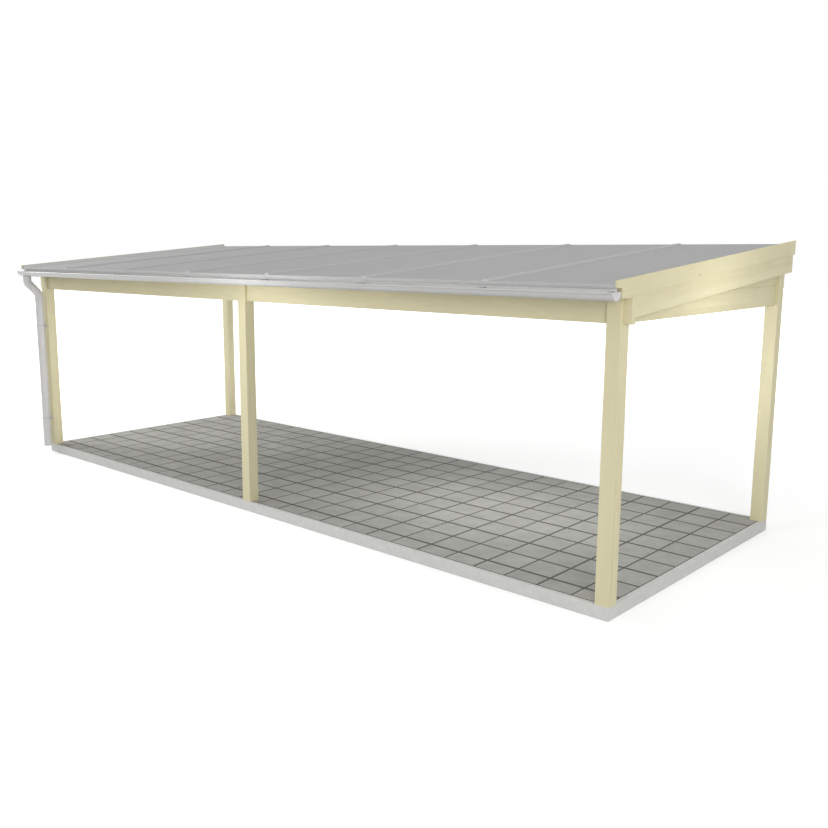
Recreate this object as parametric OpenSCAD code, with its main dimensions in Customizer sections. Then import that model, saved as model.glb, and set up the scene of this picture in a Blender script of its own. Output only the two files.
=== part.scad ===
// Sunroom frame: a lean-to frame of glued laminated timber on a low base slab, with a
// single-pitch roof of multiwall sheets, a half-round gutter and a downpipe.
// +X runs along the gutter front, +Y towards the house wall, +Z up. The origin is the
// centre of the base slab's underside. Millimetres.

/* [Base] */
// Length of the base slab along the front
base_w = 8275; // [5000:5:10000]
// Depth of the base slab from the front to the house wall
base_d = 3000; // [2000:5:4000]
// Thickness of the base slab
base_t = 104; // [60:1:200]

/* [Posts] */
// Side of the square posts
post_s = 115; // [100:1:160]
// Thickness of the cheek that stands in front of the seated beam
cheek_t = 28; // [18:1:40]
// Clear height from the floor to the underside of the front beam
clear_h = 2041; // [1900:1:2600]

/* [Beams] */
// Thickness of the front, side and wall beams
beam_t = 56; // [40:1:66]
// Depth of the front, side and wall beams
beam_h = 180; // [140:1:240]
// Gap between the two lengths of the front beam over the middle post
splice_gap = 2; // [1:0.5:6]
// Size of the eased edges along the posts, beams and rafters
ease = 3; // [1:0.5:6]
// How far the side beams are housed into the back posts
housing = 30; // [15:1:45]

/* [Rafters] */
// Roof pitch in degrees
pitch = 5; // [3:0.5:12]
// Thickness of the inner rafters
rafter_t = 56; // [40:1:66]
// Depth of the inner rafters, square to the roof
rafter_h = 120; // [100:1:180]
// Depth of the seat cut where a rafter sits on a beam
birdsmouth = 25; // [15:1:40]
// Thickness of the gable rafters outside the posts
gable_t = 62; // [42:1:80]
// Depth of the gable rafters, square to the roof
gable_h = 232; // [180:1:280]
// Thickness of the bargeboards
barge_t = 16; // [12:1:28]
// Upright depth of the bargeboards
barge_h = 125; // [95:1:150]
// How far the bargeboards stand above the roof sheets
barge_rise = 32; // [20:1:50]
// Upright gap between the gutter rim and the nose of the bargeboard
nose_gap = 26; // [10:1:40]

/* [Roof] */
// Overhang of the roof in front of the base slab
overhang = 215; // [180:1:320]
// Thickness of the rubber strips between the rafters and the sheets
seal_t = 3; // [2:0.5:6]
// Thickness of the multiwall sheets
sheet_t = 16; // [10:1:32]
// Width of the outermost sheet, from the gable to its joint bar
edge_bay = 1082; // [600:1:1250]
// Width of the gap between two sheets, for the web of the joint bar
sheet_gap = 10; // [8:1:16]
// Width of the joint bar's cap
bar_w = 60; // [50:1:80]
// Height of the joint bar's cap above the sheets
bar_h = 14; // [10:1:24]
// Height of the cap's two edges
bar_edge = 4; // [2:0.5:8]
// Thickness of the joint bar's web, between the sheets
web_t = 6; // [3:0.5:8]
// Wall thickness of the end profiles
profile_t = 2; // [1.5:0.5:4]
// How far the end profiles reach over the sheets
profile_leg = 25; // [18:1:45]
// How far the apron at the eaves reaches below the gutter's rim
apron_dip = 8; // [4:1:20]
// Gap on each side of a hanger's strap in the apron's notch
apron_gap = 2; // [1:0.5:5]
// How far the edge bar's leg stops below the top of the bargeboard
leg_drop = 4; // [1:0.5:12]

/* [Gutter] */
// Outer radius of the half-round gutter
gutter_r = 60; // [50:1:75]
// Wall thickness of the gutter and its fittings
gutter_t = 2; // [1.5:0.5:3]
// Radius of the rolled bead along the gutter's front rim
bead_r = 7; // [5:0.5:10]
// How far the rim lies below the underside of the sheets at the eaves
rim_drop = 26; // [15:1:45]
// Width of a gutter hanger
hanger_w = 25; // [20:1:40]
// Thickness of a gutter hanger
hanger_t = 4; // [3:0.5:6]
// Height of the hanger's plate on the rafter tail, below the rim
hanger_plate = 40; // [30:1:60]
// Length of the hanger's tongue inside the gutter
tongue = 12; // [8:1:16]

/* [Downpipe] */
// Outer radius of the downpipe
pipe_r = 50; // [38:1:55]
// Gap between the post and the downpipe
pipe_gap = 20; // [12:1:40]
// Height of the downpipe's open end above the underside of the base
pipe_end = 95; // [40:1:250]
// Bend radius of the swan neck, at the middle of the pipe
bend_r = 90; // [60:1:140]
// Length of the outlet spigot below the gutter
spigot = 50; // [30:1:80]
// Length of the outlet's saddle past the spigot, each way along the gutter
saddle = 15; // [10:1:30]
// Length of the socket at the top of the downpipe
socket = 60; // [40:1:100]
// Height of a pipe clip's band
clip_w = 25; // [18:1:40]
// Thickness of a pipe clip's band and plate
clip_t = 3; // [2:0.5:5]
// Height of the lower pipe clip above the floor
clip_low = 350; // [200:1:700]
// Height of the upper pipe clip above the floor
clip_high = 1560; // [1100:1:1700]

/* [Hidden] */
$fn = 48;
// Clearance between round pieces that fit over each other
fit = 0.3;
// Overshoot of cutting shapes
over = 5;
// Reach of the shapes that cut the timbers
cut = 500;
// Distance that a pipe end stands short of, or laps over, the next piece's shoulder
lap = 5;

half_w = base_w / 2;
half_d = base_d / 2;
slope = tan(pitch);
rise = cos(pitch);

// Posts: centre lines, and the left, middle and right places
post_x = half_w - post_s / 2;
front_post_y = -half_d + post_s / 2;
back_post_y = half_d - post_s / 2;

// Levels
floor_z = base_t;
beam_z0 = floor_z + clear_h;
beam_z1 = beam_z0 + beam_h;

// Front beam, between the cheeks and the rest of the posts
beam_y0 = -half_d + cheek_t;
beam_y1 = beam_y0 + beam_t;
beam_yc = (beam_y0 + beam_y1) / 2;

// Wall beam, flush with the back of the posts
wall_y0 = half_d - beam_t;
wall_yc = half_d - beam_t / 2;

// Side beams, set back from the posts' outer faces
side_x1 = half_w - cheek_t;
side_x0 = side_x1 - beam_t;
side_y1 = half_d - post_s + housing;

// Roof plane: the top of every rafter
seat_rise = rafter_h / rise - birdsmouth;
function roof_z(y) = beam_z1 + seat_rise + slope * (y - beam_yc);
wall_z1 = beam_z1 + slope * (wall_yc - beam_yc);
wall_z0 = wall_z1 - beam_h;
function barge_z(y) = roof_z(y) + (seal_t + sheet_t) / rise + barge_rise;

// Plan of the roof
roof_x = half_w + gable_t;
eave_y = -half_d - overhang;
sheet_x = roof_x - profile_t - 2 * fit;
bay = 2 * (roof_x - edge_bay) / 5;
bar_x = [for (i = [0:5]) -roof_x + edge_bay + i * bay];

// Lengths along the slope, down from the house wall
slope_len = (base_d + overhang) / rise;
sheet_s = profile_t + fit;
bar_s = sheet_s + profile_leg + fit;
sheet_z = seal_t + sheet_t;

// Gutter, hung on the plumb faces of the rafter tails: its ends stand a little inside the
// bargeboards' outer faces, and its middle a little behind the roof's edge
end_inset = 4;
eave_inset = 3;
gutter_x = roof_x + barge_t - end_inset;
gutter_y = eave_y + eave_inset;
rim_z = roof_z(eave_y) + seal_t / rise - rim_drop;
back_y = gutter_y + gutter_r + fit;
tail_y = back_y + hanger_t;
bead_y = gutter_y - gutter_r - bead_r + gutter_t;
hook_y = bead_y - bead_r - fit - hanger_t;
tongue_y = gutter_y + sqrt(pow(gutter_r - gutter_t, 2) - pow(tongue, 2)) - fit - hanger_t;
hanger_x = concat(bar_x, [-half_w - gable_t / 2, half_w + gable_t / 2]);

// Depth of the apron at the eaves, square to the sheets, from their underside
apron = (rim_drop + apron_dip + (profile_leg + fit) * sin(pitch)) / rise;

// Downpipe, in front of the left post
pipe_x = -post_x;
pipe_y = -half_d - pipe_gap - pipe_r;
pipe_bore = pipe_r - gutter_t;
socket_r = pipe_r + fit;
spigot_r = pipe_bore - fit;
spigot_bore = spigot_r - gutter_t;
neck_z = rim_z - gutter_r - fit - gutter_t;
bend_y = bend_r * (1 - cos(45));
bend_z = bend_r * sin(45);
neck_len = (pipe_y - gutter_y - 2 * bend_y) / sin(45);
neck_lead = 40;
neck_foot = socket - 10;
neck_z1 = neck_z - lap - neck_lead;
neck_z0 = neck_z1 - 2 * bend_z - neck_len * cos(45);
pipe_z1 = neck_z0;

// Socket on each end of the slanted pipe
swage_r = pipe_r + 0.8;
swage = 10;

// Pipe clips
stem = 10;
plate_w = 40;
plate_h = 45;

// Draws a (Y, Z) outline from x0 to x1
module along_x(x0, x1)
    translate([x0, 0, 0])
        rotate([90, 0, 90])
            linear_extrude(x1 - x0)
                children();

// Frame of the roof: the origin on the house wall at the top of the rafters, -Y down the slope
module in_roof()
    translate([0, half_d, roof_z(half_d)])
        rotate([pitch, 0, 0])
            children();

// Draws an (X, roof normal) outline down the slope, between two lengths
module down_slope(s0, s1)
    in_roof()
        rotate([90, 0, 0])
            translate([0, 0, s0])
                linear_extrude(s1 - s0)
                    children();

// Section of a timber with eased edges, w wide and h deep, its top on the X axis
module section(w, h)
    polygon([[ease - w / 2, 0], [w / 2 - ease, 0], [w / 2, -ease], [w / 2, ease - h],
        [w / 2 - ease, -h], [ease - w / 2, -h], [-w / 2, ease - h], [-w / 2, -ease]]);

// Sloping timber with its top in the roof plane, cut plumb at the eaves and at the wall
// and seated on the front beam. Its tail is cut level with the beam's top.
module sloping(w, h)
    difference() {
        down_slope(-h, slope_len + h)
            section(w, h);
        translate([-w, half_d, 0])
            cube([2 * w, cut, wall_z1 + cut]);
        translate([-w, tail_y - cut, 0])
            cube([2 * w, cut, wall_z1 + cut]);
        translate([-w, tail_y - over, beam_z1 - cut])
            cube([2 * w, beam_y1 - tail_y + over, cut]);
    }

// Mirrors a right-hand piece to the left when side is -1
module on_side(side)
    mirror([side < 0 ? 1 : 0, 0, 0])
        children();

module base_slab()
    color("gainsboro")
        translate([-half_w, -half_d, 0])
            cube([base_w, base_d, base_t]);

module post(x, y, top)
    translate([x, y + post_s / 2, floor_z])
        linear_extrude(top - floor_z)
            section(post_s, post_s);

// Front post: its cheek stands in front of the beam, which sits on the rest of its top
module front_post(x)
    color("burlywood")
        difference() {
            post(x, front_post_y, beam_z1);
            translate([x - post_s, beam_y0, beam_z0])
                cube([2 * post_s, post_s, beam_h + over]);
        }

// Back post: notched behind for the wall beam, and housed in front for the side beam
module back_post(side)
    color("burlywood")
        on_side(side)
            difference() {
                post(post_x, back_post_y, wall_z1);
                translate([post_x - post_s, wall_y0, wall_z0])
                    cube([2 * post_s, post_s, beam_h + over]);
                translate([side_x0, half_d - post_s - over, beam_z0])
                    cube([beam_t, housing + over, cut]);
            }

module front_beam(side)
    color("burlywood")
        on_side(side)
            along_x(splice_gap / 2, roof_x)
                translate([beam_yc, beam_z1])
                    section(beam_t, beam_h);

module wall_beam()
    color("burlywood")
        along_x(-half_w, half_w)
            translate([wall_yc, wall_z1])
                section(beam_t, beam_h);

module side_beam(side)
    color("burlywood")
        on_side(side)
            translate([(side_x0 + side_x1) / 2, side_y1, beam_z1])
                rotate([90, 0, 0])
                    linear_extrude(side_y1 - beam_y1)
                        section(beam_t, beam_h);

// Tapered board that closes the gable between the side beam and the roof
module gable_infill(side)
    color("burlywood")
        on_side(side)
            along_x(side_x0, side_x1)
                polygon([[beam_y0, beam_z1], [side_y1, beam_z1],
                    [side_y1, roof_z(side_y1)], [beam_y0, roof_z(beam_y0)]]);

// Gable rafter: fixed to the outside of the posts, over the end of the front beam
module gable_rafter(side)
    color("burlywood")
        on_side(side)
            translate([half_w + gable_t / 2, 0, 0])
                sloping(gable_t, gable_h);

// Bargeboard: its nose passes over the gutter
module bargeboard(side)
    color("burlywood")
        on_side(side)
            along_x(roof_x, roof_x + barge_t)
                polygon([[eave_y, rim_z + nose_gap], [tail_y, rim_z + nose_gap],
                    [tail_y, barge_z(tail_y) - barge_h], [half_d, barge_z(half_d) - barge_h],
                    [half_d, barge_z(half_d)], [eave_y, barge_z(eave_y)]]);

// Inner rafter, seated on the front beam and on the wall beam
module rafter(x)
    color("burlywood")
        translate([x, 0, 0])
            difference() {
                sloping(rafter_t, rafter_h);
                translate([-rafter_t, wall_y0, wall_z1 - cut])
                    cube([2 * rafter_t, cut, cut]);
            }

// Rubber strips on the rafters, under the sheets
module sealing_strips()
    color("dimgray")
        down_slope(sheet_s, (half_d - tail_y) / rise) {
            for (x = bar_x)
                translate([x - rafter_t / 2, 0])
                    square([rafter_t, seal_t]);
            for (side = [-1, 1])
                on_side(side)
                    translate([half_w, 0])
                        square([sheet_x - half_w, seal_t]);
        }

module roof_sheet(i) {
    x0 = i == 0 ? -sheet_x : bar_x[i - 1] + sheet_gap / 2;
    x1 = i == 6 ? sheet_x : bar_x[i] - sheet_gap / 2;
    color("lightgray")
        down_slope(sheet_s, slope_len - sheet_s)
            translate([x0, seal_t])
                square([x1 - x0, sheet_t]);
}

// Right half of a bar's cap: low at its edge and crowned in the middle
module half_cap(x0)
    polygon([[x0, sheet_z], [bar_w / 2, sheet_z], [bar_w / 2, sheet_z + bar_edge],
        [bar_w / 5, sheet_z + bar_h], [x0, sheet_z + bar_h]]);

// Joint bar: a cap over two sheets, and a web that stands on the rubber strip
module joint_bars()
    color("silver")
        for (x = bar_x)
            down_slope(bar_s, slope_len - bar_s)
                translate([x, 0]) {
                    half_cap(0);
                    mirror([1, 0])
                        half_cap(0);
                    translate([-web_t / 2, seal_t])
                        square([web_t, sheet_t]);
                }

// Edge bar: half a cap, with a leg between the last sheet and the bargeboard that stands up
// along the bargeboard to just below its top
module edge_bars()
    color("silver")
        for (side = [-1, 1])
            on_side(side)
                down_slope(bar_s, slope_len - bar_s)
                    translate([roof_x - fit, 0])
                        mirror([1, 0]) {
                            half_cap(0);
                            square([profile_t, sheet_z + barge_rise * rise - leg_drop]);
                        }

// Channel over the sheets' lower ends, and close behind its lower flange the apron, a strip
// that stands on the hangers' straps in notches and drips into the gutter
module eave_profile()
    color("silver") {
        in_roof()
            along_x(-sheet_x, sheet_x)
                translate([-slope_len, seal_t])
                    polygon([[0, -profile_t - fit], [profile_leg, -profile_t - fit],
                        [profile_leg, -fit], [profile_t, -fit], [profile_t, sheet_t + fit],
                        [profile_leg, sheet_t + fit], [profile_leg, sheet_t + fit + profile_t],
                        [0, sheet_t + fit + profile_t]]);
        difference() {
            in_roof()
                along_x(-sheet_x, sheet_x)
                    translate([profile_leg + fit - slope_len, seal_t - apron])
                        square([profile_t, apron - fit]);
            for (x = hanger_x)
                along_x(x - hanger_w / 2 - apron_gap, x + hanger_w / 2 + apron_gap)
                    translate([eave_y, rim_z - gutter_r])
                        square([gutter_r, gutter_r + fit + hanger_t]);
        }
    }

// Angle over the sheets' upper ends, against the house wall
module wall_profile()
    color("silver")
        in_roof()
            along_x(-sheet_x, sheet_x)
                polygon([[-profile_t, 0], [0, 0], [0, sheet_z + profile_t],
                    [-profile_leg, sheet_z + profile_t], [-profile_leg, sheet_z],
                    [-profile_t, sheet_z]]);

// Half disc below the gutter's rim
module half_disc(r)
    difference() {
        circle(r, $fn = 96);
        translate([-r - over, 0])
            square(2 * r + 2 * over);
    }

// Half-round outline below the rim, as a ring of the given radii
module trough(outer, inner)
    translate([gutter_y, rim_z])
        difference() {
            half_disc(outer);
            circle(inner, $fn = 96);
        }

module gutter()
    color("whitesmoke")
        difference() {
            union() {
                along_x(gutter_t - gutter_x, gutter_x - gutter_t)
                    trough(gutter_r, gutter_r - gutter_t);
                along_x(gutter_t - gutter_x, gutter_x - gutter_t)
                    translate([bead_y, rim_z - bead_r])
                        difference() {
                            circle(bead_r, $fn = 32);
                            circle(bead_r - gutter_t, $fn = 32);
                        }
            }
            translate([pipe_x, gutter_y, rim_z - gutter_r - over])
                cylinder(r = spigot_bore, h = gutter_r);
        }

module gutter_end(side)
    color("whitesmoke")
        on_side(side)
            along_x(gutter_x - gutter_t, gutter_x) {
                translate([gutter_y, rim_z])
                    half_disc(gutter_r);
                translate([bead_y, rim_z - bead_r])
                    circle(bead_r, $fn = 32);
            }

// Hanger: a plate on the rafter tail, hooked over the back rim and round the bead
module gutter_hanger(x)
    along_x(x - hanger_w / 2, x + hanger_w / 2) {
        translate([back_y, rim_z - hanger_plate])
            square([hanger_t, hanger_plate + fit + hanger_t]);
        translate([hook_y, rim_z + fit])
            square([back_y + hanger_t - hook_y, hanger_t]);
        translate([tongue_y, rim_z - tongue])
            square([hanger_t, tongue + fit + hanger_t]);
        translate([hook_y, rim_z - bead_r])
            square([hanger_t, bead_r + fit + hanger_t]);
    }

module gutter_hangers()
    color("silver")
        for (x = hanger_x)
            gutter_hanger(x);

// Outlet: a saddle under the gutter, and a spigot that the swan neck fits over
module gutter_outlet()
    color("whitesmoke")
        difference() {
            union() {
                intersection() {
                    along_x(pipe_x - pipe_r - saddle, pipe_x + pipe_r + saddle)
                        trough(gutter_r + fit + gutter_t, gutter_r + fit);
                    translate([pipe_x - 2 * pipe_r, gutter_y - pipe_r, neck_z - over])
                        cube([4 * pipe_r, 2 * pipe_r, gutter_r]);
                }
                difference() {
                    translate([pipe_x, gutter_y, neck_z - spigot])
                        cylinder(r = spigot_r, h = spigot + gutter_r / 2);
                    along_x(pipe_x - 2 * pipe_r, pipe_x + 2 * pipe_r)
                        translate([gutter_y, rim_z])
                            circle(gutter_r + fit, $fn = 96);
                }
            }
            translate([pipe_x, gutter_y, neck_z - spigot - over])
                cylinder(r = spigot_bore, h = spigot + gutter_r);
        }

// Ring outline of the pipe's wall
module pipe_ring()
    difference() {
        circle(pipe_r);
        circle(pipe_bore);
    }

// Elbow: a straight lead up to the origin, then 45 degrees round towards +Y
module elbow(lead)
    translate([0, bend_r, 0])
        rotate([90, 0, 90])
            mirror([1, 0, 0]) {
                rotate_extrude(angle = 45, $fn = 96)
                    translate([bend_r, 0])
                        pipe_ring();
                translate([bend_r, 0, 0])
                    rotate([90, 0, 0])
                        linear_extrude(lead)
                            pipe_ring();
            }

// Upper elbow: its lead slips over the outlet's spigot
module neck_elbow_upper()
    color("whitesmoke")
        translate([pipe_x, gutter_y, neck_z1])
            mirror([0, 0, 1])
                elbow(neck_lead);

// Half of the slanted pipe's wall, from its open end, widened there over the elbow
function swaged(z, dir) = [[pipe_bore, z + dir * fit], [pipe_r, z + dir * fit],
    [pipe_r, z + dir * gutter_t], [swage_r, z + dir * gutter_t],
    [swage_r, z - dir * lap], [swage_r + gutter_t, z - dir * lap],
    [swage_r + gutter_t, z + dir * swage], [pipe_r, z + dir * (swage + gutter_t)]];

// Slanted pipe between the elbows, with a swaged socket over the end of each
module neck_pipe()
    color("whitesmoke")
        translate([pipe_x, gutter_y + bend_y, neck_z1 - bend_z])
            rotate([180 + 45, 0, 0])
                rotate_extrude($fn = 96)
                    polygon(concat(swaged(0, 1),
                        [for (i = [7:-1:0]) swaged(neck_len, -1)[i]]));

// Lower elbow: its lead stands in the downpipe's socket
module neck_elbow_lower()
    color("whitesmoke")
        translate([pipe_x, pipe_y, neck_z0])
            mirror([0, 1, 0])
                elbow(neck_foot);

// Downpipe: a straight tube whose upper end is widened into a socket
module downpipe()
    color("whitesmoke")
        translate([pipe_x, pipe_y, 0])
            rotate_extrude($fn = 96)
                polygon([[pipe_bore, pipe_end], [pipe_r, pipe_end],
                    [pipe_r, pipe_z1 - socket - lap], [socket_r + gutter_t, pipe_z1 - socket],
                    [socket_r + gutter_t, pipe_z1 - lap], [socket_r, pipe_z1 - lap],
                    [socket_r, pipe_z1 - neck_foot - fit], [pipe_bore, pipe_z1 - neck_foot - fit]]);

// Clip: a band round the pipe, a stem and a plate on the post
module pipe_clip(z)
    translate([pipe_x, pipe_y, z]) {
        difference() {
            union() {
                cylinder(r = pipe_r + fit + clip_t, h = clip_w);
                translate([-stem / 2, pipe_r, (clip_w - stem) / 2])
                    cube([stem, pipe_gap, stem]);
            }
            translate([0, 0, -over])
                cylinder(r = pipe_r + fit, h = clip_w + 2 * over);
        }
        translate([-plate_w / 2, pipe_r + pipe_gap - clip_t, (clip_w - plate_h) / 2])
            cube([plate_w, clip_t, plate_h]);
    }

module pipe_clips()
    color("silver") {
        pipe_clip(floor_z + clip_low);
        pipe_clip(floor_z + clip_high);
    }

base_slab();
front_post(-post_x);  // post_front_left
front_post(0);  // post_front_middle
front_post(post_x);  // post_front_right
back_post(-1);  // post_back_left
back_post(1);  // post_back_right
front_beam(-1);  // front_beam_left
front_beam(1);  // front_beam_right
wall_beam();
side_beam(-1);  // side_beam_left
side_beam(1);  // side_beam_right
gable_infill(-1);  // gable_infill_left
gable_infill(1);  // gable_infill_right
gable_rafter(-1);  // gable_rafter_left
gable_rafter(1);  // gable_rafter_right
bargeboard(-1);  // bargeboard_left
bargeboard(1);  // bargeboard_right
rafter(bar_x[0]);  // rafter_1
rafter(bar_x[1]);  // rafter_2
rafter(bar_x[2]);  // rafter_3
rafter(bar_x[3]);  // rafter_4
rafter(bar_x[4]);  // rafter_5
rafter(bar_x[5]);  // rafter_6
roof_sheet(0);  // roof_sheet_1
roof_sheet(1);  // roof_sheet_2
roof_sheet(2);  // roof_sheet_3
roof_sheet(3);  // roof_sheet_4
roof_sheet(4);  // roof_sheet_5
roof_sheet(5);  // roof_sheet_6
roof_sheet(6);  // roof_sheet_7
sealing_strips();
joint_bars();
edge_bars();
eave_profile();
wall_profile();
gutter();
gutter_end(-1);  // gutter_end_left
gutter_end(1);  // gutter_end_right
gutter_hangers();
gutter_outlet();
neck_elbow_upper();
neck_pipe();
neck_elbow_lower();
downpipe();
pipe_clips();
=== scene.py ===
"""Lean-to sunroom frame: the finishes, the floor tiles and the small fixings on the CAD frame."""
import math
import random

import bmesh
import bpy
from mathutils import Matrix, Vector


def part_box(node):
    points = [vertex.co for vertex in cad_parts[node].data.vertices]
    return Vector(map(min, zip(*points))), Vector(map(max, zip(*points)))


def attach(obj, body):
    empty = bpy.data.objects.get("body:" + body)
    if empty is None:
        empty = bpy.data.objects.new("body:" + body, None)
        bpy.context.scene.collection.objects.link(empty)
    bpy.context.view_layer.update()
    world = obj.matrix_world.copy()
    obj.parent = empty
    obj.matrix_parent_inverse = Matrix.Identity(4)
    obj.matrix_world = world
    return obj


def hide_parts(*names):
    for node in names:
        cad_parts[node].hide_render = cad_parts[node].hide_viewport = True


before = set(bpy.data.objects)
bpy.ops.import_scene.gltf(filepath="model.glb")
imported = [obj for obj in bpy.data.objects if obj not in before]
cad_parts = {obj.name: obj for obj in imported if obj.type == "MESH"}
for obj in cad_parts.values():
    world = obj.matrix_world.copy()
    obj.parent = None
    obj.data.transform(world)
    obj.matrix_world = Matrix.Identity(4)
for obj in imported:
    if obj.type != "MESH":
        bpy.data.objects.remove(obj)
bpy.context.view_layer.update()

rng = random.Random(7)
PITCH = math.radians(5)      # of the roof
COS_P, SIN_P = math.cos(PITCH), math.sin(PITCH)

# ---------------------------------------------------------------- camera
cam_data = bpy.data.cameras.new("camera")
cam_data.lens = 39.49
cam_data.sensor_width = 36
cam_data.shift_x = 0.04106
cam_data.shift_y = -0.01131
camera = bpy.data.objects.new("camera", cam_data)
bpy.context.scene.collection.objects.link(camera)
camera.location = (7.1800, -7.1388, 2.6516)
camera.rotation_euler = (math.radians(90 - 9.710), 0, math.radians(43.2105))
bpy.context.scene.camera = camera
bpy.context.scene.view_settings.view_transform = "Standard"


# ---------------------------------------------------------------- node helpers
SOCKETS = {"color": "Base Color", "roughness": "Roughness", "metallic": "Metallic",
           "specular": "Specular IOR Level"}


class Graph:
    """Short calls for building a material's nodes."""

    def __init__(self, name):
        self.mat = bpy.data.materials.new(name)
        self.mat.use_nodes = True
        self.tree = self.mat.node_tree
        self.tree.nodes.clear()
        self.out = self.node("ShaderNodeOutputMaterial")
        self.bsdf = self.node("ShaderNodeBsdfPrincipled")
        self.link(self.bsdf.outputs[0], self.out.inputs["Surface"])
        self.pos = self.node("ShaderNodeTexCoord").outputs["Object"]

    def node(self, kind, **props):
        n = self.tree.nodes.new(kind)
        for k, v in props.items():
            setattr(n, k, v)
        return n

    def link(self, a, b):
        self.tree.links.new(a, b)

    def put(self, value, socket):
        if isinstance(value, bpy.types.NodeSocket):
            self.link(value, socket)
        else:
            socket.default_value = value

    def math(self, op, a, b=0.0):
        n = self.node("ShaderNodeMath", operation=op)
        for value, socket in zip((a, b), n.inputs):
            self.put(value, socket)
        return n.outputs[0]

    def split(self):
        """The three coordinates of the shaded point, in metres."""
        n = self.node("ShaderNodeSeparateXYZ")
        self.link(self.pos, n.inputs[0])
        return n.outputs[0], n.outputs[1], n.outputs[2]

    def join(self, x, y, z):
        n = self.node("ShaderNodeCombineXYZ")
        for value, socket in zip((x, y, z), n.inputs):
            self.put(value, socket)
        return n.outputs[0]

    def noise(self, vector, scale, detail=3.0, rough=0.5):
        n = self.node("ShaderNodeTexNoise")
        self.link(vector, n.inputs["Vector"])
        n.inputs["Scale"].default_value = scale
        n.inputs["Detail"].default_value = detail
        n.inputs["Roughness"].default_value = rough
        return n.outputs["Fac"]

    def white(self, vector):
        n = self.node("ShaderNodeTexWhiteNoise", noise_dimensions="3D")
        self.link(vector, n.inputs["Vector"])
        return n.outputs["Value"]

    def voronoi(self, vector, scale):
        n = self.node("ShaderNodeTexVoronoi")
        self.link(vector, n.inputs["Vector"])
        n.inputs["Scale"].default_value = scale
        return n.outputs["Distance"]

    def ramp(self, value, stops):
        n = self.node("ShaderNodeValToRGB")
        self.link(value, n.inputs[0])
        el = n.color_ramp.elements
        while len(el) < len(stops):
            el.new(0.5)
        for e, (at, c) in zip(el, stops):
            e.position = at
            e.color = (*c, 1)
        return n.outputs[0]

    def span(self, value, lo, hi, to_lo=0.0, to_hi=1.0):
        n = self.node("ShaderNodeMapRange")
        self.put(value, n.inputs[0])
        for i, v in enumerate((lo, hi, to_lo, to_hi)):
            n.inputs[i + 1].default_value = v
        return n.outputs[0]

    def mix(self, fac, a, b, kind="MIX"):
        n = self.node("ShaderNodeMix", data_type="RGBA", blend_type=kind)
        self.put(fac, n.inputs[0])
        for value, i in ((a, 6), (b, 7)):
            if not isinstance(value, bpy.types.NodeSocket):
                value = (*value, 1)
            self.put(value, n.inputs[i])
        return n.outputs[2]

    def tone(self, color, gain):
        """Colour times a grey gain socket."""
        return self.mix(1.0, color, self.join(gain, gain, gain), "MULTIPLY")

    def bump(self, height, distance, strength):
        n = self.node("ShaderNodeBump")
        self.link(height, n.inputs["Height"])
        n.inputs["Distance"].default_value = distance
        n.inputs["Strength"].default_value = strength
        self.link(n.outputs[0], self.bsdf.inputs["Normal"])

    def set(self, **values):
        for k, v in values.items():
            self.put(v, self.bsdf.inputs[SOCKETS[k]])


# ---------------------------------------------------------------- materials
BOARD_RUN = 2.3        # length of the boards glued end to end in a lamella
FINGER = 0.0035        # half the pitch of the finger joints' teeth
FINGER_SLOPE = 2.6     # how steep the teeth are
RINGS = 260.0          # growth rings a metre
ABOVE = 10.0           # lifts the stack's coordinate above zero before it is counted
BOARD_DEEP = 0.5       # stands for the depth of a lamella in a plain board


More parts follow.
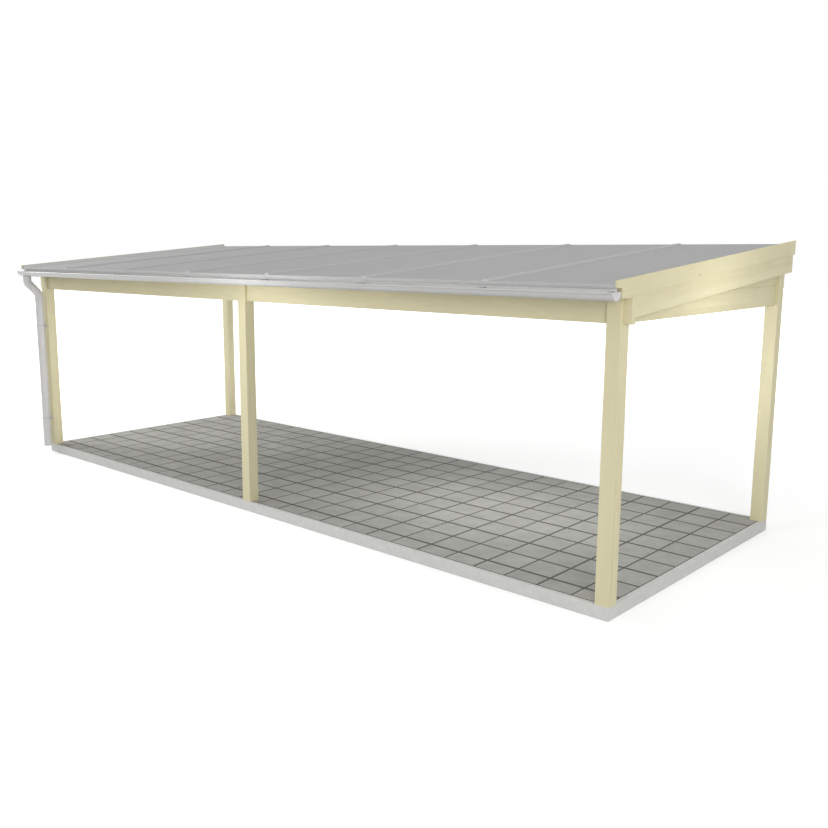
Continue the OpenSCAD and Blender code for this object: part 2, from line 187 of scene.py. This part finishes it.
def timber(name, along, stack, lamella=0.0, seed=0.0):
    """Pale planed spruce. along: axis of the grain; stack: axis that the lamellae pile up on;
    lamella: their thickness, or 0 for a plain board; seed: sets the pattern apart."""
    g = Graph(name)
    x, y, z = g.split()
    yr = g.math("ADD", g.math("MULTIPLY", y, COS_P), g.math("MULTIPLY", z, SIN_P))
    zr = g.math("SUBTRACT", g.math("MULTIPLY", z, COS_P), g.math("MULTIPLY", y, SIN_P))
    axis = {"x": x, "y": y, "z": z, "slope": yr, "normal": zr}
    u, w = axis[along], axis[stack]
    v = y if along == "x" else x
    # lamellae and their finger joints
    if lamella:
        count = g.math("DIVIDE", g.math("ADD", w, ABOVE), lamella)
        layer = g.math("FLOOR", count)
        depth = g.math("FRACT", count)
    else:
        layer = g.math("FLOOR", g.math("MULTIPLY", v, 3.0))
        depth = g.math("FRACT", g.math("DIVIDE", w, BOARD_DEEP))
    zigzag = g.math("MULTIPLY", g.math("PINGPONG", v, FINGER), FINGER_SLOPE)
    shift = g.math("MULTIPLY", g.white(g.join(layer, seed, 3.0)), BOARD_RUN)
    run = g.math("DIVIDE", g.math("ADD", g.math("ADD", u, zigzag), shift), BOARD_RUN)
    board = g.math("FLOOR", run)
    key = g.join(layer, board, seed + 0.5)
    tone = g.white(key)
    near_joint = g.math("ABSOLUTE", g.math("SUBTRACT", g.math("FRACT", run), 0.5))
    joint_line = g.span(near_joint, 0.4994, 0.5, 0.0, 1.0)
    # growth rings, different in each lamella
    wander = g.noise(g.join(g.math("MULTIPLY", u, 0.7), g.math("MULTIPLY", v, 4.0),
                            g.math("ADD", w, g.math("MULTIPLY", layer, 7.3))), 1.0, 2.0)
    off_v = g.math("MULTIPLY", g.math("SUBTRACT", tone, 0.5), 0.12)
    dv = g.math("ADD", v, off_v)
    dw = g.math("ADD", g.math("MULTIPLY", depth, lamella or BOARD_DEEP), 0.045)
    radius = g.math("SQRT", g.math("ADD", g.math("MULTIPLY", dv, dv), g.math("MULTIPLY", dw, dw)))
    radius = g.math("ADD", radius, g.math("MULTIPLY", wander, 0.055))
    ring = g.math("FRACT", g.math("MULTIPLY", radius, RINGS))
    ring = g.math("POWER", ring, 3.0)
    fibre = g.noise(g.join(g.math("MULTIPLY", u, 3.0), g.math("MULTIPLY", v, 420.0),
                           g.math("MULTIPLY", w, 420.0)), 1.0, 3.0, 0.6)
    cloud = g.noise(g.join(u, g.math("MULTIPLY", v, 4.0), g.math("MULTIPLY", w, 4.0)), 1.3, 2.0)
    # small knots
    knot = g.voronoi(g.join(g.math("MULTIPLY", u, 1.5), g.math("MULTIPLY", v, 4.6),
                            g.math("ADD", g.math("MULTIPLY", w, 4.6), tone)), 1.0)
    knot = g.span(knot, 0.030, 0.060, 1.0, 0.0)
    base = g.mix(tone, (0.640, 0.594, 0.392), (0.604, 0.554, 0.356))
    base = g.mix(g.math("MULTIPLY", ring, 0.20), base, (0.520, 0.440, 0.250))
    base = g.tone(base, g.span(fibre, 0.3, 0.7, 0.955, 1.03))
    base = g.tone(base, g.span(cloud, 0.3, 0.7, 0.975, 1.02))
    base = g.mix(g.math("MULTIPLY", knot, 0.30), base, (0.38, 0.26, 0.13))
    lines = joint_line
    if lamella:
        glue = g.math("ABSOLUTE", g.math("SUBTRACT", depth, 0.5))
        glue = g.span(glue, 0.4905, 0.497, 0.0, 1.0)
        lines = g.math("MAXIMUM", joint_line, glue)
    base = g.mix(g.math("MULTIPLY", lines, 0.16), base, (0.36, 0.29, 0.17))
    g.set(color=base, specular=0.28, roughness=g.span(fibre, 0.3, 0.7, 0.62, 0.52))
    height = g.math("SUBTRACT", g.math("ADD", g.math("MULTIPLY", fibre, 0.5),
                                       g.math("MULTIPLY", ring, 0.35)), lines)
    g.bump(height, 0.0003, 0.55)
    return g.mat


def concrete_edge():
    """Smooth concrete with fine pores, for the slab's edge and border."""
    g = Graph("slab_concrete")
    n = g.noise(g.pos, 14.0, 6.0, 0.6)
    fine = g.noise(g.pos, 320.0, 3.0, 0.6)
    pores = g.span(g.voronoi(g.pos, 46.0), 0.03, 0.09, 0.0, 1.0)
    base = g.ramp(n, [(0.3, (0.575, 0.575, 0.560)), (0.7, (0.645, 0.645, 0.630))])
    base = g.tone(base, g.span(fine, 0.3, 0.7, 0.95, 1.04))
    base = g.tone(base, g.span(pores, 0.0, 1.0, 0.86, 1.0))
    g.set(color=base, roughness=0.88, specular=0.08)
    g.bump(g.math("ADD", g.math("MULTIPLY", fine, 0.6), pores), 0.0008, 0.7)
    return g.mat


def tile_stone():
    """Cloudy grey concrete tiles, each with a tone of its own from the colour attribute."""
    g = Graph("floor_tiles")
    own = g.node("ShaderNodeAttribute", attribute_name="tone").outputs["Fac"]
    shifted = g.node("ShaderNodeVectorMath", operation="ADD")
    g.link(g.pos, shifted.inputs[0])
    g.link(g.join(g.math("MULTIPLY", own, 31.0), 0.0, g.math("MULTIPLY", own, 17.0)),
           shifted.inputs[1])
    p = shifted.outputs[0]
    cloud = g.noise(p, 6.5, 5.0, 0.62)
    vein = g.noise(p, 22.0, 4.0, 0.6)
    grit = g.noise(p, 700.0, 2.0, 0.6)
    speck = g.span(g.voronoi(p, 210.0), 0.08, 0.22, 1.0, 0.0)
    base = g.ramp(cloud, [(0.28, (0.349, 0.347, 0.324)), (0.5, (0.385, 0.383, 0.360)),
                          (0.74, (0.425, 0.423, 0.398))])
    base = g.tone(base, g.span(vein, 0.3, 0.7, 0.965, 1.03))
    base = g.tone(base, g.span(own, 0.0, 1.0, 0.955, 1.045))
    base = g.mix(g.math("MULTIPLY", speck, 0.35), base, (0.24, 0.24, 0.23))
    base = g.tone(base, g.span(grit, 0.3, 0.7, 0.95, 1.05))
    g.set(color=base, roughness=g.span(vein, 0.3, 0.7, 0.84, 0.94), specular=0.04)
    g.bump(g.math("ADD", grit, g.math("MULTIPLY", vein, 1.4)), 0.0006, 0.6)
    return g.mat


def joint_mortar():
    """Dark gritty mortar between the tiles."""
    g = Graph("tile_joints")
    n = g.noise(g.pos, 60.0, 4.0)
    grit = g.noise(g.pos, 900.0, 2.0)
    base = g.ramp(n, [(0.3, (0.105, 0.104, 0.095)), (0.7, (0.145, 0.143, 0.131))])
    g.set(color=base, roughness=0.95, specular=0.02)
    g.bump(grit, 0.0008, 0.8)
    return g.mat


WEB_PITCH = 0.016      # distance between the webs inside the multiwall sheets


def sheet_plastic():
    """Grey multiwall sheet: the webs inside show as faint lines down the slope."""
    g = Graph("multiwall_sheet")
    x, y, z = g.split()
    across = g.math("FRACT", g.math("DIVIDE", x, WEB_PITCH))
    rib = g.math("ABSOLUTE", g.math("SUBTRACT", across, 0.5))
    rib = g.span(rib, 0.42, 0.5, 0.0, 1.0)
    dust = g.noise(g.pos, 2.2, 4.0, 0.6)
    streak = g.noise(g.join(g.math("MULTIPLY", x, 26.0), g.math("MULTIPLY", y, 0.9), 0.0),
                     1.0, 3.0, 0.55)
    base = g.ramp(dust, [(0.3, (0.363, 0.366, 0.364)), (0.7, (0.391, 0.394, 0.390))])
    base = g.tone(base, g.span(rib, 0.0, 1.0, 1.0, 1.05))
    base = g.tone(base, g.span(streak, 0.3, 0.7, 0.975, 1.025))
    g.set(color=base, roughness=g.span(dust, 0.3, 0.7, 0.62, 0.72), specular=0.06)
    g.bump(g.math("ADD", g.math("MULTIPLY", rib, 0.5), g.math("MULTIPLY", streak, 0.3)),
           0.0003, 0.4)
    return g.mat


HAIR = 0.0001          # half the height over which the two colours part


def metal(name, color, rough, metallic, stretch="x", spread=0.03, specular=0.4, below=None):
    """Coated or mill-finished metal with drawing lines along one axis and a little dust.
    below is a height and the colour painted under it, a painted light where that part lies in
    shade."""
    g = Graph(name)
    x, y, z = g.split()
    long, fine = 1.2, 260.0
    k = {"x": (long, fine, fine), "y": (fine, long, fine), "z": (fine, fine, long)}[stretch]
    lines = g.noise(g.join(*(g.math("MULTIPLY", c, f) for c, f in zip((x, y, z), k))),
                    1.0, 2.0)
    dust = g.noise(g.pos, 5.0, 5.0, 0.6)
    # under the height the colour from below is painted on: painted light for the shaded apron of
    # the eave profile
    top, under = below or (0.0, color)
    base = g.mix(g.span(z, top - HAIR, top + HAIR, 1.0, 0.0), color, under)
    base = g.tone(base, g.span(lines, 0.3, 0.7, 1 - spread, 1 + spread))
    base = g.tone(base, g.span(dust, 0.3, 0.7, 0.96, 1.02))
    g.set(color=base, metallic=metallic, specular=specular,
          roughness=g.span(dust, 0.3, 0.7, rough - 0.05, rough + 0.06))
    g.bump(lines, 0.00008, 0.4)
    return g.mat


def rubber(name, dark):
    """Dull rubber; dark is its darkest grey."""
    g = Graph(name)
    n = g.noise(g.pos, 240.0, 3.0)
    base = g.ramp(n, [(0.3, (dark, dark, dark)), (0.7, (dark * 1.5, dark * 1.5, dark * 1.45))])
    g.set(color=base, roughness=0.7, specular=0.3)
    g.bump(n, 0.0003, 0.5)
    return g.mat


def assign(obj, *mats):
    """Gives an object these materials and no others."""
    obj.data.materials.clear()
    for m in mats:
        obj.data.materials.append(m)


POST = timber("glulam_post", "z", "y", lamella=0.0383, seed=1.0)
BEAM = timber("glulam_beam", "x", "z", lamella=0.045, seed=2.0)
SIDE = timber("glulam_side", "y", "z", lamella=0.045, seed=3.0)
RAFTER = timber("glulam_rafter", "slope", "normal", lamella=0.04, seed=4.0)
GABLE = timber("gable_timber", "slope", "normal", lamella=0.0465, seed=5.0)
BOARD = timber("gable_board", "slope", "normal", lamella=0.0, seed=6.0)
SHEET = sheet_plastic()
ALU = metal("bar_aluminium", (0.430, 0.433, 0.430), rough=0.56, metallic=0.10,
            stretch="y", spread=0.02, specular=0.12)
# the edge bars and the bars' end caps get a lighter copy of the bars' aluminium: painted light
# that lifts the shade on the edge bars' legs
ALU_LIGHTENED = metal("edge_aluminium", (0.620, 0.622, 0.615), rough=0.56, metallic=0.10,
                 stretch="y", spread=0.02, specular=0.12)
EAVE_Z = 2.3972        # lower edge of the eave profile; the apron under it is painted near-white, painted light that lifts the shade under the profile
# the profile's apron below EAVE_Z is painted near-white, painted light in place of the shade under
# its lower flange
ALU_X = metal("profile_aluminium", (0.445, 0.446, 0.442), rough=0.48, metallic=0.12,
              spread=0.02, specular=0.25, below=(EAVE_Z, (0.84, 0.84, 0.83)))
GUTTER = metal("gutter_coat", (0.492, 0.489, 0.485), rough=0.40, metallic=0.0, spread=0.012)
PIPE = metal("pipe_coat", (0.560, 0.553, 0.545), rough=0.40, metallic=0.0, stretch="z",
             spread=0.012)
ZINC = metal("galvanised", (0.50, 0.50, 0.495), rough=0.48, metallic=0.5, spread=0.05)
RUBBER = rubber("strip_rubber", 0.03)
# the seal rubber is a light grey, far lighter than the strip rubber: painted light that lifts the
# shade on the lips along the bars' sides; the washer faces share it
SEAL_LIGHTENED = rubber("bar_seal", 0.42)
SLAB = concrete_edge()
TILE = tile_stone()
MORTAR = joint_mortar()

LOOKS = {"post": POST, "front_beam": BEAM, "wall_beam": BEAM, "side_beam": SIDE,
         "gable_infill": BOARD, "gable_rafter": GABLE, "bargeboard": BOARD, "rafter": RAFTER,
         "roof_sheet": SHEET, "joint_bars": ALU, "edge_bars": ALU_LIGHTENED, "eave_profile": ALU_X,
         "wall_profile": ALU_X, "sealing_strips": RUBBER, "gutter_hangers": GUTTER,
         "gutter": GUTTER, "neck": PIPE, "downpipe": PIPE, "pipe_clips": ZINC,
         "base_slab": SLAB}
# a node takes the look with the longest name that its own name starts with
for name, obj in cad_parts.items():
    key = max((k for k in LOOKS if name.startswith(k)), key=len)
    assign(obj, LOOKS[key])


# ---------------------------------------------------------------- mesh helpers
def piece(name, bm, slot, *mats, smooth=None):
    """Turns a bmesh into a piece that rides on the frame."""
    me = bpy.data.meshes.new(name)
    for m in mats:
        me.materials.append(m)
    bm.normal_update()
    bm.to_mesh(me)
    bm.free()
    obj = bpy.data.objects.new(name, me)
    bpy.context.scene.collection.objects.link(obj)
    if smooth:
        for p in me.polygons:
            p.use_smooth = True
        me.set_sharp_from_angle(angle=math.radians(smooth))
    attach(obj, "root")
    return obj


def add_box(bm, lo, hi, mat=0, chamfer=0.0):
    """Box between two corners; its top edges can be chamfered."""
    x0, y0, z0 = lo
    x1, y1, z1 = hi
    c = chamfer
    rings = [(z0, 0.0), (z1 - c, 0.0), (z1, c)] if c else [(z0, 0.0), (z1, 0.0)]
    loops = []
    for z, d in rings:
        loops.append([bm.verts.new(p) for p in ((x0 + d, y0 + d, z), (x1 - d, y0 + d, z),
                                                (x1 - d, y1 - d, z), (x0 + d, y1 - d, z))])
    faces = [bm.faces.new(loops[0][::-1]), bm.faces.new(loops[-1])]
    for a, b in zip(loops, loops[1:]):
        for i in range(4):
            j = (i + 1) % 4
            faces.append(bm.faces.new((a[i], a[j], b[j], b[i])))
    for f in faces:
        f.material_index = mat
    return faces


# ---------------------------------------------------------------- tiled slab
slab_lo, slab_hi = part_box("base_slab")
PAIR = 0.6110          # distance between the wider joints
EDGE = 0.036           # plain border of the slab
FIRST_X, FIRST_Y = -0.17, -0.04      # a wide joint each way, from the slab's middle
JOINTS_X = (0.021, 0.016)            # wide and thin joints between columns of tiles
JOINTS_Y = (0.030, 0.024)            # and between rows
LEAST_FIRST, LEAST_LAST = 0.05, 0.02  # narrowest tiles at the two ends of a row
TILE_DEEP = 0.006      # depth of the tiles' bed below the slab's top
TILE_FOOT = 0.001      # height of the tiles' undersides above that bed
TILE_EASE = 0.0008     # eased edges of the tiles
TILE_DROP = 0.0002     # most that a tile lies low
MORTAR_LOW = 0.0010    # mortar below the tiles' faces


def tile_lines(first, low, high, widths):
    """Joint centre lines between two borders: wide ones, and thin ones halfway between."""
    wide, thin = widths
    lines = [(low, wide)]
    k = math.ceil((low + LEAST_FIRST - first) / (PAIR / 2))
    while first + k * PAIR / 2 < high - LEAST_LAST:
        lines.append((first + k * PAIR / 2, wide if k % 2 == 0 else thin))
        k += 1
    return lines + [(high, wide)]


bm = bmesh.new()
tone_layer = bm.faces.layers.float.new("tone")
add_box(bm, slab_lo, (slab_hi.x, slab_hi.y, slab_hi.z - TILE_DEEP), 0)
border = [((slab_lo.x, slab_lo.y), (slab_hi.x, slab_lo.y + EDGE)),
          ((slab_lo.x, slab_hi.y - EDGE), (slab_hi.x, slab_hi.y)),
          ((slab_lo.x, slab_lo.y + EDGE), (slab_lo.x + EDGE, slab_hi.y - EDGE)),
          ((slab_hi.x - EDGE, slab_lo.y + EDGE), (slab_hi.x, slab_hi.y - EDGE))]
for (ax, ay), (bx, by) in border:
    add_box(bm, (ax, ay, slab_hi.z - TILE_DEEP), (bx, by, slab_hi.z), 0)
add_box(bm, (slab_lo.x + EDGE, slab_lo.y + EDGE, slab_hi.z - TILE_DEEP),
        (slab_hi.x - EDGE, slab_hi.y - EDGE, slab_hi.z - MORTAR_LOW), 2)
xs = tile_lines(FIRST_X, slab_lo.x + EDGE, slab_hi.x - EDGE, JOINTS_X)
ys = tile_lines(FIRST_Y, slab_lo.y + EDGE, slab_hi.y - EDGE, JOINTS_Y)
for (xa, wa), (xb, wb) in zip(xs, xs[1:]):
    for (ya, va), (yb, vb) in zip(ys, ys[1:]):
        drop = rng.uniform(0, TILE_DROP)
        made = add_box(bm, (xa + wa / 2, ya + va / 2, slab_hi.z - TILE_DEEP + TILE_FOOT),
                       (xb - wb / 2, yb - vb / 2, slab_hi.z - drop), 1, TILE_EASE)
        tone = rng.random()
        for f in made:
            f[tone_layer] = tone
tiled = piece("tiled_base", bm, "slab", SLAB, TILE, MORTAR)
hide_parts("base_slab")

# ---------------------------------------------------------------- roof fittings
rafter_lo, rafter_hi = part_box("rafter_1")
WALL_Y = rafter_hi.y   # face of the house wall
ROOF_Z = rafter_hi.z   # top of the rafters there
EDGE_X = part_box("edge_bars")[1].x    # outer face of the edge bars
BAR_PITCH = 1.247      # distance between the joint bars
BARS = [(k - 2.5) * BAR_PITCH for k in range(6)]
STRIP_T, SHEET_T, BAR_H = 0.003, 0.016, 0.014    # rubber strip, sheet, bar above the sheets
SHEET_N = STRIP_T + SHEET_T          # top of the sheets above the rafters
CROWN_N = SHEET_N + BAR_H            # crown of the bars
BAR_S = (0.0276, 3.1997)             # the bars' run, down the slope from the wall


def roof_point(x, s, n):
    """Point on the roof: s down the slope from the house wall, n square to it."""
    return Vector((x, WALL_Y - s * COS_P - n * SIN_P, ROOF_Z - s * SIN_P + n * COS_P))


def extrude(bm, outline, place, a, b):
    """Closed bar between a and b; place(p, t) puts an outline point at the length t."""
    lo = [bm.verts.new(place(p, a)) for p in outline]
    hi = [bm.verts.new(place(p, b)) for p in outline]
    faces = [bm.faces.new(lo), bm.faces.new(hi[::-1])]
    for i in range(len(outline)):
        j = (i + 1) % len(outline)
        faces.append(bm.faces.new((lo[i], hi[i], hi[j], lo[j])))
    bmesh.ops.recalc_face_normals(bm, faces=faces)


def turned(bm, at, axis, profile, segments=20, mat=0, hexed=()):
    """Solid of revolution: profile is (radius, height) pairs from the seat up, closed at both
    ends. Rings whose index is in hexed have six corners' shape."""
    axis = Vector(axis).normalized()
    side = axis.orthogonal().normalized()
    up = axis.cross(side)
    rings = []
    for k, (r, h) in enumerate(profile):
        ring = []
        for i in range(segments):
            a = 2 * math.pi * i / segments
            flat = 1.0
            if k in hexed:
                flat = math.cos(math.pi / 6) / math.cos((a % (math.pi / 3)) - math.pi / 6)
            ring.append(bm.verts.new(Vector(at) + axis * h
                                     + (side * math.cos(a) + up * math.sin(a)) * r * flat))
        rings.append(ring)
    faces = [bm.faces.new(rings[0][::-1]), bm.faces.new(rings[-1])]
    for a, b in zip(rings, rings[1:]):
        for i in range(segments):
            j = (i + 1) % segments
            faces.append(bm.faces.new((a[i], a[j], b[j], b[i])))
    for f in faces:
        f.material_index = mat
    bmesh.ops.recalc_face_normals(bm, faces=faces)


# (radius, height) profiles of the fixings, from the seat up
WASHER_FACE = [(0.0080, 0.0), (0.0080, 0.0012)]
WASHER = [(0.0080, 0.0), (0.0078, 0.0006), (0.0050, 0.0013)]
HEX_HEAD = [(0.0046, 0.0), (0.0046, 0.0024), (0.0040, 0.0030)]
EDGE_HEAD = [(0.0046, 0.0), (0.0044, 0.0014), (0.0034, 0.0026), (0.0016, 0.0032)]
HANGER_HEAD = [(0.0046, 0.0), (0.0044, 0.0012), (0.0034, 0.0024), (0.0016, 0.0030)]
CLIP_HEAD = [(0.0048, 0.0), (0.0046, 0.0012), (0.0035, 0.0026), (0.0016, 0.0032)]


def bar_screw(bm, x, s):
    """Hexagon-headed roofing screw on a rubber-faced washer."""
    seat = roof_point(x, s, CROWN_N)
    normal = roof_point(x, s, CROWN_N + 1) - seat
    face_t, washer_t = WASHER_FACE[-1][1], WASHER[-1][1]
    turned(bm, seat, normal, WASHER_FACE, 24, 1)
    turned(bm, seat + normal * face_t, normal, WASHER, 24)
    turned(bm, seat + normal * (face_t + washer_t), normal, HEX_HEAD, 24, 0, (0, 1, 2))


SCREW_ROWS, SCREW_FIRST, SCREW_STEP = 9, 0.16, 0.363     # rows of screws down the slope
EDGE_IN = 0.0072       # from the edge bars' outer faces in to their screws

bm = bmesh.new()
for k in range(SCREW_ROWS):
    s = SCREW_FIRST + k * SCREW_STEP
    for x in BARS:
        bar_screw(bm, x, s)
    for x in (-EDGE_X + EDGE_IN, EDGE_X - EDGE_IN):
        seat = roof_point(x, s, CROWN_N)
        turned(bm, seat, roof_point(x, s, CROWN_N + 1) - seat, EDGE_HEAD)
piece("bar_screws", bm, "fixing", ZINC, SEAL_LIGHTENED, smooth=35)

# (distance from the bar's middle, height above the rafters) outlines: the rubber lip along the
# bar's edge, and half of the end cap
LIP = [(0.0299, SHEET_N + 0.0001), (0.0326, SHEET_N + 0.0001), (0.0324, SHEET_N + 0.0010),
       (0.0314, SHEET_N + 0.0021), (0.0299, SHEET_N + 0.0027)]
CAP = [(0.0, SHEET_N + 0.0004), (0.0300, SHEET_N + 0.0004), (0.0300, SHEET_N + 0.0042),
       (0.0120, CROWN_N + 0.0002), (0.0, CROWN_N + 0.0002)]
CAP_THICK = 0.0020

bm = bmesh.new()
for x in BARS:
    for side in (-1, 1):
        extrude(bm, LIP, lambda p, t: roof_point(x + side * p[0], t, p[1]), *BAR_S)
for side in (-1, 1):
    extrude(bm, LIP, lambda p, t: roof_point(side * (EDGE_X - p[0]), t, p[1]), *BAR_S)
piece("bar_lips", bm, "seal", SEAL_LIGHTENED)

bm = bmesh.new()
mirrored = [(-x, n) for x, n in CAP[::-1][:-1]]
for end in (BAR_S[0] - CAP_THICK, BAR_S[1]):
    for x in BARS:
        extrude(bm, CAP[1:] + mirrored[1:], lambda p, t: roof_point(x + p[0], t, p[1]),
                end, end + CAP_THICK)
    for side in (-1, 1):
        extrude(bm, CAP, lambda p, t: roof_point(side * (EDGE_X - p[0]), t, p[1]),
                end, end + CAP_THICK)
# the end caps are in the lightened aluminium, painted light
piece("bar_end_caps", bm, "bar", ALU_LIGHTENED)

# ---------------------------------------------------------------- gutter and pipe fixings
RIM_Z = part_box("gutter")[1].z
STRAP_T, STRAP_W = 0.004, 0.025      # section of the hangers' straps
CLIP_T, CLIP_PLATE = 0.003, 0.045    # thickness and height of the pipe clips' plates
HANGER_SCREW = 0.033                 # screws below the rim
hanger_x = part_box("gutter_hangers")[1].x - STRAP_W / 2    # the outermost hangers
post_lo, post_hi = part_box("post_front_left")
clip_lo, clip_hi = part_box("pipe_clips")

bm = bmesh.new()
for x in BARS + [-hanger_x, hanger_x]:
    for dx in (-0.0065, 0.0065):
        turned(bm, (x + dx, rafter_lo.y - STRAP_T, RIM_Z - HANGER_SCREW), (0, -1, 0), HANGER_HEAD)
for z in (clip_lo.z + CLIP_PLATE / 2, clip_hi.z - CLIP_PLATE / 2):
    for dx in (-0.014, 0.014):
        for dz in (-0.015, 0.015):
            turned(bm, ((post_lo.x + post_hi.x) / 2 + dx, post_lo.y - CLIP_T, z + dz), (0, -1, 0),
                   CLIP_HEAD)
piece("hanger_screws", bm, "fixing", ZINC, smooth=40)

# ---------------------------------------------------------------- floor, light
def seen_rays(tree):
    """1 for the rays that show a thing to the camera, in a reflection or through glass, else 0."""
    path = tree.nodes.new("ShaderNodeLightPath")
    seen = path.outputs["Is Camera Ray"]
    for kind in ("Is Glossy Ray", "Is Transmission Ray"):
        either = tree.nodes.new("ShaderNodeMath")
        either.operation = "MAXIMUM"
        tree.links.new(seen, either.inputs[0])
        tree.links.new(path.outputs[kind], either.inputs[1])
        seen = either.outputs[0]
    return seen


FLOOR_R = 60           # radius of the floor
FLOOR_Z = -0.001       # just clear of the slab's underside
FLOOR_GLOW = 0.35      # share of white added to the floor beside the object
FADE = (5.5, 9.0)      # distances from the object between which the floor turns white
AMBIENT = 0.65         # strength of the world's light on the object

bm = bmesh.new()
bmesh.ops.create_circle(bm, cap_ends=True, radius=FLOOR_R, segments=96)
me = bpy.data.meshes.new("floor")
bm.to_mesh(me)
bm.free()
floor = bpy.data.objects.new("floor", me)
floor.location.z = FLOOR_Z
bpy.context.scene.collection.objects.link(floor)
g = Graph("pale_floor")
grain = g.noise(g.pos, 30.0, 3.0)
g.set(color=g.ramp(grain, [(0.3, (0.79, 0.79, 0.79)), (0.7, (0.81, 0.81, 0.81))]),
      roughness=0.9, specular=0.1)
# near the object the floor is a diffuse surface that takes its shadow; farther out it is white
glow = g.node("ShaderNodeEmission")
glow.inputs[0].default_value = (1, 1, 1, 1)
distance = g.node("ShaderNodeVectorMath", operation="LENGTH")
g.link(g.pos, distance.inputs[0])
far = g.span(distance.outputs["Value"], *FADE, FLOOR_GLOW, 1.0)
g.link(g.math("MULTIPLY", seen_rays(g.tree), far), glow.inputs[1])
add = g.node("ShaderNodeAddShader")
g.link(g.bsdf.outputs[0], add.inputs[0])
g.link(glow.outputs[0], add.inputs[1])
g.link(add.outputs[0], g.out.inputs["Surface"])
assign(floor, g.mat)

# the world is white where it is seen, and lights the object with AMBIENT
world = bpy.data.worlds.new("studio")
bpy.context.scene.world = world
world.use_nodes = True
tree = world.node_tree
tree.nodes.clear()
mix = tree.nodes.new("ShaderNodeMixShader")
tree.links.new(seen_rays(tree), mix.inputs[0])
for strength, socket in ((AMBIENT, mix.inputs[1]), (1.0, mix.inputs[2])):
    light = tree.nodes.new("ShaderNodeBackground")
    light.inputs[0].default_value = (1, 1, 1, 1)
    light.inputs[1].default_value = strength
    tree.links.new(light.outputs[0], socket)
tree.links.new(mix.outputs[0], tree.nodes.new("ShaderNodeOutputWorld").inputs["Surface"])


def area(name, at, aim, size, power, spread=180):
    """Soft lamp that lights the object and never shows itself."""
    data = bpy.data.lights.new(name, "AREA")
    data.shape = "RECTANGLE"
    data.size, data.size_y = size
    data.energy = power
    data.spread = math.radians(spread)
    obj = bpy.data.objects.new(name, data)
    obj.location = at
    obj.rotation_euler = (Vector(aim) - Vector(at)).to_track_quat("-Z", "Y").to_euler()
    obj.visible_camera = False
    bpy.context.scene.collection.objects.link(obj)


# two wide lamps and the world light the whole frame
area("left_wide", (-13, -3, 6), (-3, 0, 1.5), (7, 5), 1050)
area("right_low", (11, -8, 4), (4, 0, 1.2), (4, 3), 400)
# small ones even out the roof, the front beam, the gable, the posts behind and the floor
area("top", (3.5, 0, 8), (3.5, 0, 0), (6, 5), 70)
area("beam_near", (0.35, -2.5, 2.2), (0.35, -1.5, 2.2), (0.6, 0.25), 3.8)
area("beam_wide", (0.25, -4.4, 2.0), (0.25, -1.5, 2.15), (1.2, 0.5), 17.4)
area("gable_near", (5.0, -0.1, 2.1), (4.2, -0.1, 2.3), (0.6, 0.3), 4.0)
area("left_posts", (-0.9, -0.3, 1.2), (-4.1, -0.3, 1.15), (1.6, 0.8), 4.9, 70)
area("left_room", (0.8, 0.2, 1.3), (-4.1, 0.1, 1.2), (1.6, 0.8), 12.5, 50)
area("back_post", (3.1, -0.9, 1.7), (4.08, 1.4, 1.5), (0.8, 0.8), 4.4, 70)
area("right_floor", (2.2, 0, 2.0), (2.2, 0, 0), (2.6, 1.4), 13.2, 110)
